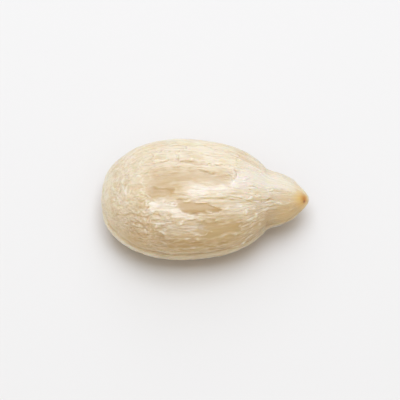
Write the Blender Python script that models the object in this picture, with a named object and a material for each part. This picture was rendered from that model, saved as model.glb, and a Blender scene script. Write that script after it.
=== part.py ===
"""A dehulled sunflower seed kernel, lying on its belly with its tip towards +X.

The kernel is one grown body. A sphere is drawn out to the kernel's plan and side outlines. Formulas then
raise and sink its skin: the lip along the rim, the trough and folds of the crown, the loose sheets of
papery skin, and the long ribs of both faces. The belly is pressed flat where the kernel rests.
"""

from dataclasses import dataclass

import bmesh
import bpy
import numpy as np

NAME = "kernel"
COLLECTION = "sunflower_seed_kernel"
METRES_PER_MM = 0.001

# Driving dimensions, in millimetres. x runs from the blunt end at 0 to the tip.
LENGTH = 10.0
WIDTH = 6.02
THICKNESS = 3.3
CROWN_SHARE = 0.573  # of the thickness that lies above the rim
REST_FLATTENING = 0.05  # depth pressed off the belly to make the flat spot

# Segments of the skin around the kernel, and rings from the blunt end to the tip.
SEGMENTS = 90
RINGS = 62
SEGMENT_SPREAD = 0.13  # moves segments from the rim to the faces, where a full section thins them out

# Outlines, as (share of the length, share of the greatest half width or height).
PLAN = (
    (0, 0), (0.021, 0.417), (0.05, 0.575), (0.098, 0.718), (0.18, 0.88), (0.28, 0.968), (0.38, 1.0),
    (0.475, 0.977), (0.57, 0.931), (0.65, 0.85), (0.705, 0.757), (0.755, 0.635), (0.775, 0.57),
    (0.795, 0.495), (0.815, 0.46), (0.84, 0.438), (0.86, 0.42), (0.91, 0.345), (0.957, 0.21), (1, 0),
)
CROWN_SIDE = (
    (0, 0), (0.02, 0.36), (0.1, 0.71), (0.22, 0.92), (0.38, 1.0), (0.55, 0.95), (0.7, 0.8),
    (0.8, 0.63), (0.88, 0.5), (0.95, 0.33), (1, 0),
)
BELLY_SIDE = (
    (0, 0), (0.02, 0.34), (0.1, 0.66), (0.22, 0.88), (0.34, 0.98), (0.42, 1.0), (0.5, 0.98),
    (0.66, 0.84), (0.78, 0.65), (0.88, 0.48), (0.95, 0.32), (1, 0),
)
SECTION_FULLNESS = 0.3  # how much squarer than an ellipse the section is at its fullest
SECTION_FULL_TO = 0.85  # share of the length past which the nose is a plain ellipse

# The lip: a groove above and one below the rim leave the edge between them standing proud.
LIP_OFFSET = 0.36
LIP_GROOVE_HALF_WIDTH = 0.14
LIP_GROOVE_DEPTH = 0.09
LIP_SHRINKS_FROM = 0.6  # share of the length past which the lip gets smaller
LIP_NOSE_SHARE = 0.35  # of the offset and depth that is left at the tip

# The trough and the hollow of the crown: depth, half width, then the plan points (x, y) of the middle line.
HOLLOWS = {
    "trough": (0.09, 0.34, ((2.9, 0.38), (3.8, 0.45), (4.8, 0.45), (5.9, 0.38))),
    "hollow": (0.09, 0.26, ((2.5, -0.25), (3.2, -0.3))),
}

# Ridges and creases of the crown: height, half width, then the plan points that they run through.
RIDGES = {
    "spine": (0.07, 0.13, ((3.05, -0.65), (4.35, -0.55), (5.8, -0.5), (7.15, -0.4), (8.6, -0.3))),
    "spine_crease": (-0.05, 0.1, ((3.6, -0.8), (4.3, -0.75), (5.1, -0.75), (6.2, -0.7))),
    "nose_upper": (0.05, 0.11, ((6.4, -0.2), (7.55, -0.15), (8.65, -0.05))),
    "nose_middle": (0.035, 0.1, ((6.7, -0.85), (7.95, -0.65), (8.8, -0.5))),
    "nose_lower": (0.05, 0.12, ((5.8, -1.35), (7.05, -1.1), (8.15, -0.75), (9.0, -0.5))),
    "cheek": (0.05, 0.12, ((6.6, -1.6), (7.05, -1.45), (7.9, -1.1))),
    "low_fold": (0.07, 0.14, ((3.5, -2.5), (4.35, -2.4), (5.4, -2.35), (6.4, -2.1), (7.0, -1.8))),
    "low_crease": (-0.05, 0.12, ((3.8, -2.75), (4.95, -2.6), (5.9, -2.5), (6.8, -2.1))),
    "wave_upper": (0.05, 0.11, ((2.35, -1.85), (2.9, -1.85), (3.85, -1.85), (4.9, -1.75))),
    "wave_lower": (0.06, 0.12, ((2.45, -2.1), (3.1, -2.15), (3.7, -2.3), (4.3, -2.1), (5.15, -2.15))),
    "shoulder_front": (0.06, 0.12, ((6.8, -2.2), (7.2, -2.0), (7.6, -1.7))),
    "shoulder_back": (0.06, 0.12, ((6.5, 1.85), (6.95, 1.7), (7.3, 1.45), (7.65, 1.2))),
    "blunt_curl": (0.05, 0.12, ((1.3, -1.95), (1.7, -2.15), (2.2, -2.35))),
    "knot": (0.05, 0.14, ((1.9, -0.25), (2.2, -0.5), (2.1, -0.95))),
}
RIDGE_END_FADE = 0.2  # share of its length over which a ridge dies out at each end
PATH_PIECES = 5  # straight pieces in each span of a rounded path

# Sheets of papery skin that lie proud of the crown: height, then the corners of their outline in plan.
SHEETS = {
    "upper_flake": (0.05, ((3.7, 2.2), (4.95, 2.15), (5.5, 1.9), (6.5, 1.85), (6.4, 1.3), (3.7, 1.35))),
    "middle_flake": (0.035, ((3.8, 1.25), (6.35, 1.2), (6.35, 0.6), (5.05, 0.8), (3.9, 0.85))),
    "chip": (0.035, ((2.45, 1.85), (3.6, 1.85), (3.6, 1.4), (2.5, 1.4))),
    "silver_front": (0.045, ((2.1, -0.9), (2.9, -0.8), (3.6, -1.0), (4.5, -1.5), (4.3, -1.7), (2.2, -1.3))),
    "silver_nose": (0.03, ((6.1, 0.3), (6.6, 1.05), (7.7, 0.8), (8.6, 0.5), (8.6, 0.15), (6.2, 0.0))),
}
SHEET_EDGE = 0.14  # width over which a sheet steps down to the skin

# Long ribs that run from the blunt end to the tip, on each face: how many, height, seed of their drift.
CROWN_RIBS = (13, 0.018, 4)
BELLY_RIBS = (11, 0.05, 9)
RIB_REACH = 0.82  # share of the half width that the ribs keep within
RIB_HALF_WIDTH = 0.055  # share of the half width
RIB_DRIFT = 0.07
RIB_DRIFT_RANGE = (0.3, 1.0)
RIB_WAVES_RANGE = (0.7, 1.6)
RIB_STRENGTH_RANGE = (0.5, 1.0)
RIB_START_RANGE = (0.08, 0.2)  # share of the length
RIB_END_RANGE = (0.8, 0.92)
RIB_END_FADE = 0.1
RIB_RISE_FROM, RIB_RISE_FADE = 0.2, 0.25  # the ribs keep off the lip
REST_BLEND = 0.08  # height above the flat spot within which the relief dies out
RIM_SAMPLES = 4001  # points at which the length of the rim is measured

SKIN_COLOUR = (0.70, 0.58, 0.40, 1.0)
SKIN_ROUGHNESS = 0.42


@dataclass
class Skin:
    """Where each point of the bare skin lies: in millimetres from the blunt end, and by shares."""

    points: np.ndarray  # x along, y across, z above the rim
    along: np.ndarray  # 0 at the blunt end, 1 at the tip
    across: np.ndarray  # -1 to 1 over the half width
    rise: np.ndarray  # -1 at the belly, 0 at the rim, 1 at the crown


def soft_step(value):
    """A smooth rise from 0 to 1 as the value goes from 0 to 1."""
    value = np.clip(value, 0, 1)
    return value * value * (3 - 2 * value)


def curve_through(points, x):
    """Read a smooth curve that passes through the points and never overshoots between them."""
    px, py = np.array(points, dtype=float).T
    step = np.diff(px)
    rise = np.diff(py) / step
    before, after = rise[:-1], rise[1:]
    turns = before * after <= 0
    weight_before = 2 * step[1:] + step[:-1]
    weight_after = step[1:] + 2 * step[:-1]
    blend = np.where(turns, 1, weight_before * after + weight_after * before)
    inner = np.where(turns, 0, (weight_before + weight_after) * before * after / blend)
    first = rise[0] + (rise[0] - rise[1]) * step[0] / (step[0] + step[1])
    last = rise[-1] + (rise[-1] - rise[-2]) * step[-1] / (step[-1] + step[-2])
    slope = np.concatenate(([first], inner, [last]))
    i = np.clip(np.searchsorted(px, x) - 1, 0, len(step) - 1)
    t = (x - px[i]) / step[i]
    return (
        (2 * t**3 - 3 * t**2 + 1) * py[i]
        + (t**3 - 2 * t**2 + t) * step[i] * slope[i]
        + (3 * t**2 - 2 * t**3) * py[i + 1]
        + (t**3 - t**2) * step[i] * slope[i + 1]
    )


def outline(points, along):
    """Half width or height at a share of the length. Squared shares keep both ends round."""
    squared = [(x, y * y) for x, y in points]
    return np.sqrt(np.maximum(curve_through(squared, along), 0))


def half_width(along):
    return WIDTH / 2 * outline(PLAN, along)


def crown_height(along):
    return THICKNESS * CROWN_SHARE * outline(CROWN_SIDE, along)


def belly_depth(along):
    return (THICKNESS * (1 - CROWN_SHARE) + REST_FLATTENING) * outline(BELLY_SIDE, along)


def section_power(along):
    """2 makes the section an ellipse, and a higher power fills out its shoulders."""
    return 2 + SECTION_FULLNESS * np.sin(np.pi * np.clip(along / SECTION_FULL_TO, 0, 1))


def place_on_crown(plan_points):
    """Lift plan points (x, y) on to the bare skin of the crown."""
    x, y = np.array(plan_points, dtype=float).T
    along = x / LENGTH
    power = section_power(along)
    across = np.clip(np.abs(y) / half_width(along), 0, 1)
    z = crown_height(along) * (1 - across**power) ** (1 / power)
    return np.stack((x, y, z), axis=1)


def ring_stations(count):
    """Shares of the length that space the rings evenly along the rim, so the ends get their part."""
    fine = np.linspace(0, 1, RIM_SAMPLES)
    x = LENGTH * (1 - np.cos(np.pi * fine)) / 2
    run = np.concatenate(([0], np.cumsum(np.hypot(np.diff(x), np.diff(half_width(x / LENGTH))))))
    return np.interp(np.linspace(0, run[-1], count + 1), run, x / LENGTH)


def draw_out(sphere):
    """Map the points of a unit sphere, whose poles are on z, to the bare skin of the kernel."""
    ring = np.arccos(np.clip(-sphere[:, 2], -1, 1)) / np.pi * RINGS
    along = np.interp(ring, np.arange(RINGS + 1), ring_stations(RINGS))
    turn = np.arctan2(sphere[:, 1], sphere[:, 0])
    turn = turn + SEGMENT_SPREAD * np.sin(2 * turn)
    exponent = 2 / section_power(along)
    across = np.sign(np.cos(turn)) * np.abs(np.cos(turn)) ** exponent
    rise = np.sign(np.sin(turn)) * np.abs(np.sin(turn)) ** exponent
    height = np.where(rise > 0, crown_height(along), belly_depth(along))
    points = np.stack((LENGTH * along, across * half_width(along), rise * height), axis=1)
    return Skin(points, along, across, rise)


def nearest_on_path(points, path):
    """Distance from each point to the path, and the share of the path's length where it is nearest."""
    run = np.concatenate(([0], np.cumsum(np.linalg.norm(np.diff(path, axis=0), axis=1))))
    distance = np.full(len(points), np.inf)
    share = np.zeros(len(points))
    for i, (start, end) in enumerate(zip(path[:-1], path[1:])):
        edge = end - start
        t = np.clip((points - start) @ edge / (edge @ edge), 0, 1)
        away = np.linalg.norm(points - start - t[:, None] * edge, axis=1)
        nearer = away < distance
        distance = np.where(nearer, away, distance)
        share = np.where(nearer, (run[i] + t * (run[i + 1] - run[i])) / run[-1], share)
    return distance, share


def round_path(plan_points):
    """A smooth path on the crown through the plan points, with each span cut in pieces."""
    plan_points = np.array(plan_points, dtype=float)
    steps = np.concatenate(([0], np.cumsum(np.linalg.norm(np.diff(plan_points, axis=0), axis=1))))
    fine = np.linspace(0, steps[-1], PATH_PIECES * (len(plan_points) - 1) + 1)
    if len(plan_points) < 3:
        columns = [np.interp(fine, steps, column) for column in plan_points.T]
    else:
        columns = [curve_through(list(zip(steps, column)), fine) for column in plan_points.T]
    return place_on_crown(np.stack(columns, axis=1))


def ridge(skin, height, width, plan_points):
    """A rounded ridge, or a crease where the height is negative, that dies out at both its ends."""
    distance, share = nearest_on_path(skin.points, round_path(plan_points))
    end_fade = soft_step(np.minimum(share, 1 - share) / RIDGE_END_FADE)
    return height * end_fade * np.exp(-((distance / width) ** 2))


def hollow(skin, depth, width, plan_points):
    """A broad round-ended dip."""
    distance, _ = nearest_on_path(skin.points, round_path(plan_points))
    return -depth * np.exp(-((distance / width) ** 2))


def inside_plan(points, corners):
    """Which points of the crown lie inside a closed outline, seen from above."""
    x, y = points[:, 0], points[:, 1]
    inside = np.zeros(len(points), dtype=bool)
    for (x0, y0), (x1, y1) in zip(corners, corners[1:] + corners[:1]):
        if y0 == y1:
            continue
        crosses = (y0 > y) != (y1 > y)
        inside ^= crosses & (x < x0 + (x1 - x0) * (y - y0) / (y1 - y0))
    return inside & (points[:, 2] > 0)


def sheet(skin, height, corners):
    """A flat layer with a soft stepped edge."""
    distance, _ = nearest_on_path(skin.points, place_on_crown(corners + corners[:1]))
    signed = np.where(inside_plan(skin.points, corners), distance, -distance)
    return height * soft_step(signed / SHEET_EDGE + 0.5)


def lip(skin):
    """The grooves above and below the rim, smaller towards the tip."""
    shrunk = soft_step((skin.along - LIP_SHRINKS_FROM) / (1 - LIP_SHRINKS_FROM))
    size = 1 - (1 - LIP_NOSE_SHARE) * shrunk
    from_groove = (np.abs(skin.points[:, 2]) - LIP_OFFSET * size) / (LIP_GROOVE_HALF_WIDTH * size)
    return -LIP_GROOVE_DEPTH * size * np.exp(-(from_groove**2))


def ribs(skin, face, count, height, seed):
    """Ribs at steady shares of the width, each with its own slow drift, height, start and end."""
    draw = np.random.default_rng(seed)
    total = np.zeros(len(skin.points))
    for place in np.linspace(-RIB_REACH, RIB_REACH, count):
        drift, phase = draw.uniform(*RIB_DRIFT_RANGE), draw.uniform(0, 2 * np.pi)
        waves, strength = draw.uniform(*RIB_WAVES_RANGE), draw.uniform(*RIB_STRENGTH_RANGE)
        start, end = draw.uniform(*RIB_START_RANGE), draw.uniform(*RIB_END_RANGE)
        middle = place + RIB_DRIFT * drift * np.sin(2 * np.pi * waves * skin.along + phase)
        shape = np.exp(-(((skin.across - middle) / RIB_HALF_WIDTH) ** 2))
        fade_in = soft_step((skin.along - start) / RIB_END_FADE)
        fade_out = soft_step((end - skin.along) / RIB_END_FADE)
        total += height * strength * shape * fade_in * fade_out
    return total * soft_step((skin.rise * face - RIB_RISE_FROM) / RIB_RISE_FADE)


def relief(skin):
    """Height of the relief over the bare skin, in millimetres."""
    total = lip(skin)
    total += ribs(skin, 1, *CROWN_RIBS)
    total += ribs(skin, -1, *BELLY_RIBS)
    for depth, width, line in HOLLOWS.values():
        total += hollow(skin, depth, width, line)
    for height, width, line in RIDGES.values():
        total += ridge(skin, height, width, line)
    for height, corners in SHEETS.values():
        total += sheet(skin, height, corners)
    floor = REST_FLATTENING - belly_depth(skin.along).max()
    return total * soft_step((skin.points[:, 2] - floor) / REST_BLEND), floor


def kernel_mesh():
    """The whole skin, its flat spot at z = 0 and its box centred over the origin, in metres."""
    bm = bmesh.new()
    bmesh.ops.create_uvsphere(bm, u_segments=SEGMENTS, v_segments=RINGS, radius=1)
    skin = draw_out(np.array([vert.co for vert in bm.verts]))
    set_points(bm, skin.points)
    bm.normal_update()
    normals = np.array([vert.normal for vert in bm.verts])
    height, floor = relief(skin)
    points = skin.points + normals * height[:, None]
    points[:, 2] = np.maximum(points[:, 2], floor) - floor
    middle = (points.max(axis=0) + points.min(axis=0)) / 2
    points[:, :2] -= middle[:2]
    set_points(bm, points * METRES_PER_MM)
    mesh = bpy.data.meshes.new(NAME)
    bm.to_mesh(mesh)
    bm.free()
    mesh.shade_smooth()
    return mesh


def set_points(bm, points):
    for vert, point in zip(bm.verts, points):
        vert.co = point


def skin_material():
    material = bpy.data.materials.new("kernel_skin")
    material.use_nodes = True
    shader = material.node_tree.nodes["Principled BSDF"]
    shader.inputs["Base Color"].default_value = SKIN_COLOUR
    shader.inputs["Roughness"].default_value = SKIN_ROUGHNESS
    shader.inputs["Metallic"].default_value = 0.0
    material.diffuse_color = SKIN_COLOUR
    return material


def clear_scene():
    for thing in list(bpy.data.objects):
        bpy.data.objects.remove(thing)


def build():
    clear_scene()
    collection = bpy.data.collections.new(COLLECTION)
    bpy.context.scene.collection.children.link(collection)
    mesh = kernel_mesh()
    mesh.materials.append(skin_material())
    collection.objects.link(bpy.data.objects.new(NAME, mesh))


build()
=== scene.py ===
import math

import bmesh
import bpy
import numpy as np
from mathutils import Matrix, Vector


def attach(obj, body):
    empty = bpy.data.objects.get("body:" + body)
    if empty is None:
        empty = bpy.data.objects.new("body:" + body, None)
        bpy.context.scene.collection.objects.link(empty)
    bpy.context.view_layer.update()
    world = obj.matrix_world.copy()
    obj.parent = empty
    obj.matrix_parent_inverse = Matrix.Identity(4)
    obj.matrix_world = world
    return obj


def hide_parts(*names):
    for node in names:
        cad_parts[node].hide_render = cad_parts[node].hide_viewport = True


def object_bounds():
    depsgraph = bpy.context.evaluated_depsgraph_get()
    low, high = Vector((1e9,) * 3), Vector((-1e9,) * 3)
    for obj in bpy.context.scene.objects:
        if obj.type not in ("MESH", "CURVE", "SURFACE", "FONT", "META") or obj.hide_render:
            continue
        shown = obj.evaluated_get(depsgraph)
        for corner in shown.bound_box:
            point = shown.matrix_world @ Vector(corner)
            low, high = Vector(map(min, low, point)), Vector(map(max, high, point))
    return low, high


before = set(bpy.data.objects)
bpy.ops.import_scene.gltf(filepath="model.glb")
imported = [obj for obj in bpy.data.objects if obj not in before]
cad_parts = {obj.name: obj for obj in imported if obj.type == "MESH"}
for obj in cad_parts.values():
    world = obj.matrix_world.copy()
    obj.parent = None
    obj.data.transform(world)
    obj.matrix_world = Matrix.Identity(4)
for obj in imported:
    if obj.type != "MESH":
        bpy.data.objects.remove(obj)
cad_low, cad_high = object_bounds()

# The kernel's body: two seed leaves grown together into one full teardrop, a little flattened, with a
# short nose. Its form is a sphere drawn out to a plan outline and two side outlines.
# Sizes are in millimetres. x runs from the blunt end at 0 to the tip, and z is measured from the rim.

METRES_PER_MM = 0.001
LENGTH = 10.0
WIDTH = 6.02
THICKNESS = 3.3
CROWN_SHARE = 0.573
REST_FLATTENING = 0.05
SEGMENTS = 320
RINGS = 300
SEGMENT_SPREAD = 0.13
CROWN_CROWDING = 0.35
PLAN = (
    (0, 0), (0.021, 0.417), (0.05, 0.575), (0.098, 0.718), (0.18, 0.88), (0.28, 0.968), (0.38, 1.0),
    (0.475, 0.977), (0.57, 0.931), (0.65, 0.85), (0.705, 0.757), (0.755, 0.635), (0.775, 0.57),
    (0.795, 0.495), (0.815, 0.46), (0.84, 0.438), (0.86, 0.42), (0.91, 0.345), (0.957, 0.21), (1, 0),
)
CROWN_SIDE = (
    (0, 0), (0.02, 0.36), (0.1, 0.71), (0.22, 0.92), (0.38, 1.0), (0.55, 0.95), (0.7, 0.8),
    (0.8, 0.63), (0.88, 0.5), (0.95, 0.33), (1, 0),
)
BELLY_SIDE = (
    (0, 0), (0.02, 0.34), (0.1, 0.66), (0.22, 0.88), (0.34, 0.98), (0.42, 1.0), (0.5, 0.98),
    (0.66, 0.84), (0.78, 0.65), (0.88, 0.48), (0.95, 0.32), (1, 0),
)
SECTION_FULLNESS = 0.3
SECTION_FULL_TO = 0.85


def curve_through(points, x):
    """Read a smooth curve that passes through the points and never overshoots between them."""
    px, py = np.array(points, dtype=float).T
    step = np.diff(px)
    rise = np.diff(py) / step
    before, after = rise[:-1], rise[1:]
    turns = before * after <= 0
    weight_before = 2 * step[1:] + step[:-1]
    weight_after = step[1:] + 2 * step[:-1]
    blend = np.where(turns, 1, weight_before * after + weight_after * before)
    inner = np.where(turns, 0, (weight_before + weight_after) * before * after / blend)
    first = rise[0] + (rise[0] - rise[1]) * step[0] / (step[0] + step[1])
    last = rise[-1] + (rise[-1] - rise[-2]) * step[-1] / (step[-1] + step[-2])
    slope = np.concatenate(([first], inner, [last]))
    i = np.clip(np.searchsorted(px, x) - 1, 0, len(step) - 1)
    t = (x - px[i]) / step[i]
    return (
        (2 * t**3 - 3 * t**2 + 1) * py[i]
        + (t**3 - 2 * t**2 + t) * step[i] * slope[i]
        + (3 * t**2 - 2 * t**3) * py[i + 1]
        + (t**3 - t**2) * step[i] * slope[i + 1]
    )


def outline(points, along):
    """Half width or height at a share of the length. Squared shares keep both ends round."""
    squared = [(x, y * y) for x, y in points]
    return np.sqrt(np.maximum(curve_through(squared, along), 0))


def half_width(along):
    return WIDTH / 2 * outline(PLAN, along)


def crown_height(along):
    return THICKNESS * CROWN_SHARE * outline(CROWN_SIDE, along)


def belly_depth(along):
    return (THICKNESS * (1 - CROWN_SHARE) + REST_FLATTENING) * outline(BELLY_SIDE, along)


def section_power(along):
    """2 makes the section an ellipse, and a higher power fills out its shoulders."""
    return 2 + SECTION_FULLNESS * np.sin(np.pi * np.clip(along / SECTION_FULL_TO, 0, 1))


def ring_stations(count):
    """Shares of the length that space the rings evenly along the rim."""
    fine = np.linspace(0, 1, 4001)
    x = LENGTH * (1 - np.cos(np.pi * fine)) / 2
    run = np.concatenate(([0], np.cumsum(np.hypot(np.diff(x), np.diff(half_width(x / LENGTH))))))
    return np.interp(np.linspace(0, run[-1], count + 1), run, x / LENGTH)


def read_points(mesh):
    flat = np.empty(3 * len(mesh.vertices), dtype=np.float32)
    mesh.vertices.foreach_get("co", flat)
    return flat.reshape(-1, 3).astype(float)


def read_normals(mesh):
    flat = np.empty(3 * len(mesh.vertices), dtype=np.float32)
    mesh.vertex_normals.foreach_get("vector", flat)
    return flat.reshape(-1, 3).astype(float)


def write_points(mesh, points):
    mesh.vertices.foreach_set("co", points.astype(np.float32).ravel())
    mesh.update()


body_mesh = bpy.data.meshes.new("kernel_body")
sphere = bmesh.new()
bmesh.ops.create_uvsphere(sphere, u_segments=SEGMENTS, v_segments=RINGS, radius=1)
sphere.to_mesh(body_mesh)
sphere.free()

ball = read_points(body_mesh)
ring = np.arccos(np.clip(-ball[:, 2], -1, 1)) / np.pi * RINGS
along = np.interp(ring, np.arange(RINGS + 1), ring_stations(RINGS))
turn = np.arctan2(ball[:, 1], ball[:, 0])
turn = turn + SEGMENT_SPREAD * np.sin(2 * turn) + CROWN_CROWDING * np.cos(turn)
exponent = 2 / section_power(along)
across = np.sign(np.cos(turn)) * np.abs(np.cos(turn)) ** exponent
rise = np.sign(np.sin(turn)) * np.abs(np.sin(turn)) ** exponent
height = np.where(rise > 0, crown_height(along), belly_depth(along))
bare_skin = np.stack((LENGTH * along, across * half_width(along), rise * height), axis=1)
write_points(body_mesh, bare_skin)
bare_normals = read_normals(body_mesh)

# The skin's form: the lip where the two halves of the hull met round the rim, the trough and hollow of
# the crown, folds drawn along the kernel towards its nose, loose sheets, and long ribs on both faces.
# All of it is raised from the body by formulas, most of it along lines that lie on the crown.

LIP_OFFSET = 0.36
LIP_GROOVE_HALF_WIDTH = 0.12
LIP_GROOVE_DEPTH = 0.09
LIP_NOSE_SHARE = 0.35
LIP_NARROWS = (0.6, 1.0)

# A hollow or a fold has a depth or a height, a half width, and the plan points (x, y) it runs through.

HOLLOWS = {
    "trough": (0.065, 0.42, ((2.9, 0.38), (3.8, 0.45), (4.8, 0.45), (5.9, 0.38))),
    "hollow": (0.07, 0.3, ((2.5, -0.25), (3.2, -0.3))),
}
FOLDS = {
    "spine": (0.07, 0.06, ((3.05, -0.62), (4.35, -0.55), (5.8, -0.5), (7.15, -0.42), (8.6, -0.3))),
    "spine_crease": (-0.04, 0.05, ((3.3, -0.78), (4.3, -0.74), (5.1, -0.7), (6.2, -0.66), (7.1, -0.58))),
    "nose_upper": (0.05, 0.045, ((5.9, -0.24), (6.6, -0.2), (7.55, -0.14), (8.65, -0.05), (9.2, -0.05))),
    "nose_middle": (0.03, 0.05, ((6.5, -0.85), (7.25, -0.72), (7.95, -0.62), (8.9, -0.45))),
    "below_spine": (0.03, 0.045, ((5.3, -1.05), (5.8, -1.05), (6.5, -0.95), (6.95, -0.85))),
    "nose_lower": (0.045, 0.06, ((5.8, -1.35), (6.5, -1.2), (7.05, -1.1), (8.15, -0.77), (9.0, -0.5))),
    "cheek": (0.045, 0.055, ((6.6, -1.62), (7.05, -1.45), (7.4, -1.28), (7.9, -1.12))),
    "cheek_low": (0.035, 0.045, ((7.95, -1.28), (8.35, -1.16), (8.9, -0.98))),
    "low_fold": (0.06, 0.08, ((3.5, -2.5), (4.35, -2.42), (5.4, -2.36), (6.4, -2.12), (7.0, -1.8))),
    "low_crease": (-0.05, 0.07, ((3.8, -2.75), (4.95, -2.6), (5.9, -2.48), (6.8, -2.06))),
    "low_edge": (0.05, 0.055, ((5.9, -2.72), (6.5, -2.54), (6.95, -2.28), (7.3, -1.98), (7.6, -1.7))),
    "wave_upper": (0.055, 0.05, (
        (2.35, -1.83), (2.7, -1.8), (3.1, -1.92), (3.85, -1.84), (4.2, -1.75), (4.9, -1.78),
    )),
    "wave_lower": (0.06, 0.055, (
        (2.8, -2.05), (3.4, -2.21), (3.7, -2.3), (4.2, -2.12), (4.75, -2.2), (5.15, -2.18),
    )),
    "wave_left": (0.05, 0.05, ((2.45, -2.1), (2.8, -2.16), (3.1, -2.3), (3.3, -2.39))),
    "wave_top": (0.04, 0.045, ((2.9, -1.6), (3.4, -1.62), (3.9, -1.56), (4.6, -1.6), (5.3, -1.66))),
    "silver_crease": (-0.04, 0.045, ((1.8, -1.2), (2.1, -1.34), (2.5, -1.45), (2.9, -1.52))),
    "shoulder_front_gap_1": (-0.05, 0.04, ((6.75, -2.35), (7.1, -2.1), (7.6, -1.7))),
    "shoulder_front_gap_2": (-0.04, 0.04, ((6.5, -1.9), (6.95, -1.7), (7.5, -1.4))),
    "shoulder_back_1": (0.045, 0.055, ((6.6, 1.86), (6.9, 1.73), (7.2, 1.5), (7.5, 1.28))),
    "shoulder_back_2": (0.045, 0.055, ((6.75, 2.09), (7.1, 1.94), (7.4, 1.68), (7.7, 1.44))),
    "shoulder_back_3": (0.04, 0.045, ((6.5, 1.58), (6.8, 1.45), (7.1, 1.2))),
    "back_line_1": (0.025, 0.04, ((3.6, 2.4), (4.4, 2.42), (5.2, 2.3), (6.0, 2.12))),
    "back_line_2": (-0.03, 0.04, ((4.6, 1.75), (5.3, 1.68), (6.0, 1.6))),
    "flake_line": (-0.05, 0.034, ((3.7, 1.36), (4.2, 1.3), (4.75, 1.18), (5.5, 1.12), (6.3, 1.2))),
    "flake_line_low": (-0.035, 0.034, ((4.4, 0.8), (4.75, 0.78), (5.45, 0.69), (6.3, 0.64))),
    "flake_top": (-0.035, 0.034, ((4.7, 2.32), (5.1, 2.2), (5.5, 2.02), (6.2, 1.9))),
    "flake_ridge": (0.035, 0.03, ((4.0, 1.42), (4.6, 1.34), (5.2, 1.24), (5.9, 1.2))),
    "flake_ridge_low": (0.035, 0.03, ((4.3, 0.9), (5.0, 0.82), (5.8, 0.76))),
    "torn_1": (0.055, 0.045, ((1.9, -0.23), (2.1, -0.35), (2.3, -0.46), (2.4, -0.61))),
    "torn_2": (0.055, 0.045, ((2.05, -0.54), (2.15, -0.8), (2.1, -1.0))),
    "torn_3": (0.045, 0.045, ((1.75, 0.25), (2.0, 0.05), (2.15, -0.15))),
    "blunt_arc_1": (0.04, 0.05, ((0.75, 1.0), (0.6, 0.4), (0.62, -0.3), (0.8, -1.0))),
    "blunt_arc_2": (0.035, 0.05, ((1.2, 0.9), (1.1, 0.3), (1.15, -0.4))),
    "left_hair": (0.02, 0.035, ((0.3, -0.91), (0.7, -1.04), (1.1, -1.12))),
    "curl_1": (0.045, 0.05, ((1.4, -2.05), (1.65, -2.17), (1.9, -2.34))),
    "curl_2": (0.045, 0.05, ((2.15, -2.15), (2.3, -2.33), (2.2, -2.47))),
    "curl_3": (0.04, 0.045, ((1.5, -1.7), (1.8, -1.78), (2.0, -1.95))),
    "curl_gap_1": (-0.05, 0.045, ((1.25, -1.92), (1.55, -2.02), (1.85, -2.2))),
    "curl_gap_2": (-0.05, 0.045, ((2.0, -1.98), (2.2, -2.12), (2.25, -2.3))),
    "curl_gap_3": (-0.045, 0.045, ((1.35, -1.5), (1.65, -1.58), (1.95, -1.72), (2.15, -1.9))),
    "curl_gap_4": (-0.045, 0.045, ((2.6, -2.25), (2.95, -2.4), (3.3, -2.5))),
    "pane_low": (-0.03, 0.05, ((3.9, -1.31), (4.25, -1.38), (4.65, -1.35), (5.05, -1.32))),
}

# A group of fine lines has a count, a height, a half width, its first and last guide, and a seed.

LINE_GUIDES = {
    "nose": (9, 0.055, 0.026, ((5.8, 0.04), (7.0, 0.12), (8.2, 0.16), (9.6, 0.06)),
             ((5.8, -0.85), (7.0, -0.8), (8.2, -0.62), (9.5, -0.34)), 61),
    "nose_gaps": (8, -0.034, 0.025, ((5.9, 0.0), (7.1, 0.07), (8.2, 0.11), (9.6, 0.02)),
                  ((5.9, -0.8), (7.1, -0.74), (8.2, -0.57), (9.5, -0.3)), 62),
    "cheek": (5, 0.045, 0.03, ((5.8, -1.0), (6.8, -0.92), (7.8, -0.74), (8.8, -0.5)),
              ((5.9, -1.35), (6.8, -1.3), (7.6, -1.15), (8.6, -0.85)), 63),
    "shoulder_front": (6, 0.045, 0.034, ((6.2, -1.75), (6.8, -1.55), (7.35, -1.25), (8.0, -1.05)),
                       ((5.9, -2.72), (6.6, -2.5), (7.15, -2.1), (7.8, -1.62)), 61),
    "shoulder_back": (3, 0.022, 0.034, ((6.3, 2.15), (6.8, 1.98), (7.3, 1.7), (7.9, 1.35)),
                      ((6.0, 1.5), (6.8, 1.25), (7.5, 0.95), (8.2, 0.7)), 61),
    "low_rim": (3, 0.028, 0.034, ((3.4, -2.66), (4.6, -2.66), (5.8, -2.5), (6.7, -2.2)),
                ((3.6, -2.88), (4.8, -2.84), (6.0, -2.66), (6.9, -2.3)), 61),
}
LINE_STARTS = (0, 0.3)
LINE_ENDS = (0.75, 1)
LINE_STRENGTHS = (0.6, 1.2)
THREAD_HEIGHT = 0.05

# Chips lie in fields, each with its range of x, its range of y and how far a chip may turn.

CHIP_COUNT = 72
CHIP_SEED = 12
CHIP_LENGTHS = (0.18, 0.55)
CHIP_HEIGHTS = (0.02, 0.044)
CHIP_HALF_WIDTH = 0.03
CHIP_FIELDS = (
    ((0.5, 2.6), (-1.9, 1.3), 1.2), ((2.4, 5.2), (-2.4, -1.7), 0.4), ((6.3, 7.8), (0.2, 1.2), 0.6),
)

# Ribs have a count, a height and a seed.

CROWN_RIBS = (13, 0.018, 4)
BELLY_RIBS = (11, 0.05, 9)
RIB_HALF_WIDTH = 0.055
RIB_SPREAD = 0.82
RIB_RISE = (0.2, 0.45)
RIB_FADE = 0.1
RIB_DRIFT = 0.07
REST_BLEND = 0.08

# A sheet has a height, a curl, and the plan points of its outline. A ripple has an amount, a wavelength
# and a seed, and a lift has a middle value before them.

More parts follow.
